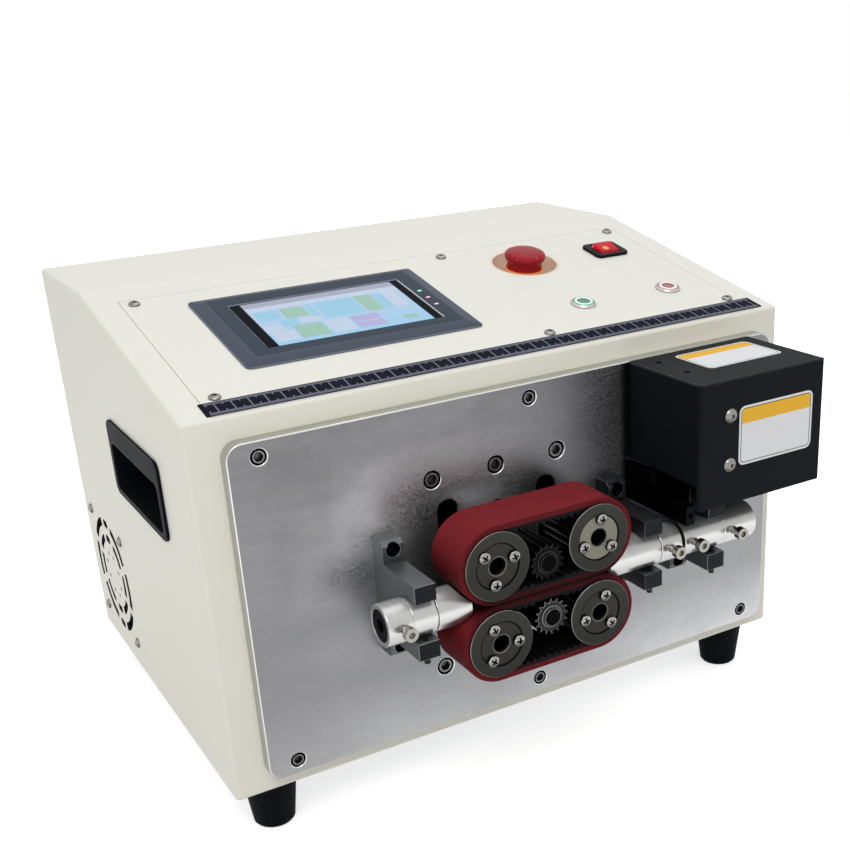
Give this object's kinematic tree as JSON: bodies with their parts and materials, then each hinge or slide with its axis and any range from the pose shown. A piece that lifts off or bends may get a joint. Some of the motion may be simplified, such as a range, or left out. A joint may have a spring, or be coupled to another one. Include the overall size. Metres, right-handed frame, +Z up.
{
  "type": "tube cutting machine",
  "caption": "Bench machine with a sloped control panel; toothed rubber-faced belts feed soft tube through guides to a shielded blade.",
  "frame": {"origin": "middle of the bounding box on the floor under the feet", "axes": "+X along the fed tube, towards the blade's side; -Y the front; +Z up"},
  "size_m": [0.4364, 0.4056, 0.322],
  "materials": {
    "cream_paint": "satin powder coat",
    "zinc_sheet": "zinc plated",
    "brushed_plate": "brushed",
    "bright_screw": "stainless",
    "dark_screw": "black oxide",
    "panel_slate": "fine texture",
    "display": "lit display",
    "scale_film": "printed film",
    "well_plastic": "smooth",
    "yellow_plastic": "smooth",
    "red_plastic": "smooth",
    "black_plastic": "fine texture",
    "lens_red": "translucent",
    "lens_green": "translucent",
    "foot_rubber": "matt",
    "belt_rubber": "matt",
    "turned_steel": "turned",
    "motor_black": "matt paint",
    "spring_steel": "drawn wire",
    "cover_black": "matt powder coat",
    "dark_anodised": "dark anodised",
    "grey_anodised": "grey anodised",
    "satin_aluminium": "turned, satin",
    "cage_and_board": "cage and circuit board",
    "pulley_anodised": "hard anodised",
    "cap_light": "hard anodised, light",
    "gear_steel": "machined"
  },
  "bodies": {
    "machine": {"housing_shell": "cream_paint", "base_plate": "zinc_sheet", "rear_panel": "cream_paint", "front_plate": "brushed_plate", "slope_panel": "cream_paint", "case_screws": "bright_screw", "plate_screws": "dark_screw", "hmi_bezel": "panel_slate", "hmi_screen": "display", "ruler_strip": "scale_film", "estop_well": "well_plastic", "estop_collar": "yellow_plastic", "rocker_frame": "black_plastic", "button_rings": "bright_screw", "side_handles": "black_plastic", "fan_frame": "black_plastic", "feet": "foot_rubber", "lower_belt": "belt_rubber", "lower_axles": "turned_steel", "lower_motor_plate": "brushed_plate", "feed_motor_lower": "motor_black", "lift_rods": "turned_steel", "lift_springs": "spring_steel", "cutter_motor": "motor_black", "slide_rail": "turned_steel", "blade_cover": "cover_black", "cover_bracket": "dark_anodised", "left_bracket": "grey_anodised", "right_brackets": "dark_anodised", "guide_screws": "bright_screw", "left_guide_tube": "satin_aluminium", "right_guide_tube": "satin_aluminium", "guide_collars": "satin_aluminium", "electronics": "cage_and_board", "power_inlet": "black_plastic"},
    "lift_unit": {"upper_carriage": "brushed_plate", "upper_axles": "turned_steel", "upper_belt": "belt_rubber", "feed_motor_upper": "motor_black"},
    "lower_left_wheel": {"pulley_lower_left": "pulley_anodised", "cap_lower_left": "pulley_anodised"},
    "lower_right_wheel": {"pulley_lower_right": "pulley_anodised", "cap_lower_right": "pulley_anodised"},
    "upper_left_wheel": {"pulley_upper_left": "pulley_anodised", "cap_upper_left": "pulley_anodised"},
    "upper_right_wheel": {"pulley_upper_right": "pulley_anodised", "cap_upper_right": "cap_light"},
    "lower_pinion": {"drive_pinion_lower": "gear_steel"},
    "upper_pinion": {"drive_pinion_upper": "gear_steel"},
    "lower_motor_gear": {"motor_gear_lower": "gear_steel"},
    "upper_motor_gear": {"motor_gear_upper": "gear_steel"},
    "cutter": {"blade": "turned_steel", "blade_carriage": "dark_anodised"},
    "cutter_gear": {"cutter_pinion": "gear_steel"},
    "stop_slide": {"estop_plunger": "red_plastic"},
    "stop_mushroom": {"estop_head": "red_plastic"},
    "mains_rocker": {"rocker": "lens_red"},
    "start_key": {"start_button": "lens_green"},
    "stop_key": {"stop_button": "lens_red"},
    "fan_rotor": {"fan_impeller": "black_plastic"}
  },
  "joints": [
    {"name": "upper_unit_lift", "type": "slide", "parent": "machine", "child": "lift_unit", "axis": [0, 0, 1], "range_m": [0, 0.015], "stiffness_N_per_m": 500, "springref_m": -0.02, "deforming": ["lift_springs"]},
    {"name": "lower_pinion_spin", "type": "hinge", "parent": "machine", "child": "lower_pinion", "pos_m": [-0.0235, -0.16565, 0.13616], "axis": [0, 1, 0], "continuous": true},
    {"name": "lower_left_spin", "type": "hinge", "parent": "machine", "child": "lower_left_wheel", "pos_m": [-0.05975, -0.16565, 0.1282], "axis": [0, 1, 0], "continuous": true},
    {"name": "lower_right_spin", "type": "hinge", "parent": "machine", "child": "lower_right_wheel", "pos_m": [0.01275, -0.16565, 0.1282], "axis": [0, 1, 0], "continuous": true},
    {"name": "lower_motor_spin", "type": "hinge", "parent": "machine", "child": "lower_motor_gear", "pos_m": [-0.0235, -0.08965, 0.09116], "axis": [0, 1, 0], "continuous": true},
    {"name": "upper_pinion_spin", "type": "hinge", "parent": "lift_unit", "child": "upper_pinion", "pos_m": [-0.0235, -0.16565, 0.17184], "axis": [0, 1, 0], "continuous": true},
    {"name": "upper_left_spin", "type": "hinge", "parent": "lift_unit", "child": "upper_left_wheel", "pos_m": [-0.05975, -0.16565, 0.1798], "axis": [0, 1, 0], "continuous": true},
    {"name": "upper_right_spin", "type": "hinge", "parent": "lift_unit", "child": "upper_right_wheel", "pos_m": [0.01275, -0.16565, 0.1798], "axis": [0, 1, 0], "continuous": true},
    {"name": "upper_motor_spin", "type": "hinge", "parent": "lift_unit", "child": "upper_motor_gear", "pos_m": [-0.0235, -0.07365, 0.21684], "axis": [0, 1, 0], "continuous": true},
    {"name": "blade_slide", "type": "slide", "parent": "machine", "child": "cutter", "axis": [0, 0, 1], "range_m": [-0.028, 0]},
    {"name": "cutter_gear_spin", "type": "hinge", "parent": "machine", "child": "cutter_gear", "pos_m": [0.135, -0.14445, 0.224], "axis": [0, 1, 0], "range_deg": [-109, 2]},
    {"name": "stop_press", "type": "slide", "parent": "machine", "child": "stop_slide", "axis": [0, -0.2003, 0.9797], "range_m": [-0.004, 0]},
    {"name": "stop_twist", "type": "hinge", "parent": "stop_slide", "child": "stop_mushroom", "pos_m": [0.0917, 0.02024, 0.30879], "axis": [0, -0.2003, 0.9797], "range_deg": [-35, 0], "stiffness_Nm_per_rad": 0.02, "springref_deg": 5.73},
    {"name": "mains_rock", "type": "hinge", "parent": "machine", "child": "mains_rocker", "pos_m": [0.1625, 0.01868, 0.30694], "axis": [1, 0, 0], "range_deg": [-20, 0]},
    {"name": "start_press", "type": "slide", "parent": "machine", "child": "start_key", "axis": [0, -0.2003, 0.9797], "range_m": [-0.0015, 0], "stiffness_N_per_m": 600, "springref_m": 0.001},
    {"name": "stop_press_key", "type": "slide", "parent": "machine", "child": "stop_key", "axis": [0, -0.2003, 0.9797], "range_m": [-0.0015, 0], "stiffness_N_per_m": 600, "springref_m": 0.001},
    {"name": "fan_spin", "type": "hinge", "parent": "machine", "child": "fan_rotor", "pos_m": [-0.204, 0.13435, 0.0986], "axis": [1, 0, 0], "continuous": true}
  ],
  "couplings": [
    {"joint": "lower_left_spin", "follows": "lower_pinion_spin", "ratio": 0.61538},
    {"joint": "lower_right_spin", "follows": "lower_pinion_spin", "ratio": 0.61538},
    {"joint": "lower_motor_spin", "follows": "lower_pinion_spin", "ratio": -1.5},
    {"joint": "upper_pinion_spin", "follows": "lower_pinion_spin", "ratio": -1},
    {"joint": "upper_left_spin", "follows": "lower_pinion_spin", "ratio": -0.61538},
    {"joint": "upper_right_spin", "follows": "lower_pinion_spin", "ratio": -0.61538},
    {"joint": "upper_motor_spin", "follows": "lower_pinion_spin", "ratio": 1.5},
    {"joint": "cutter_gear_spin", "follows": "blade_slide", "rad_per_m": 66.667}
  ]
}
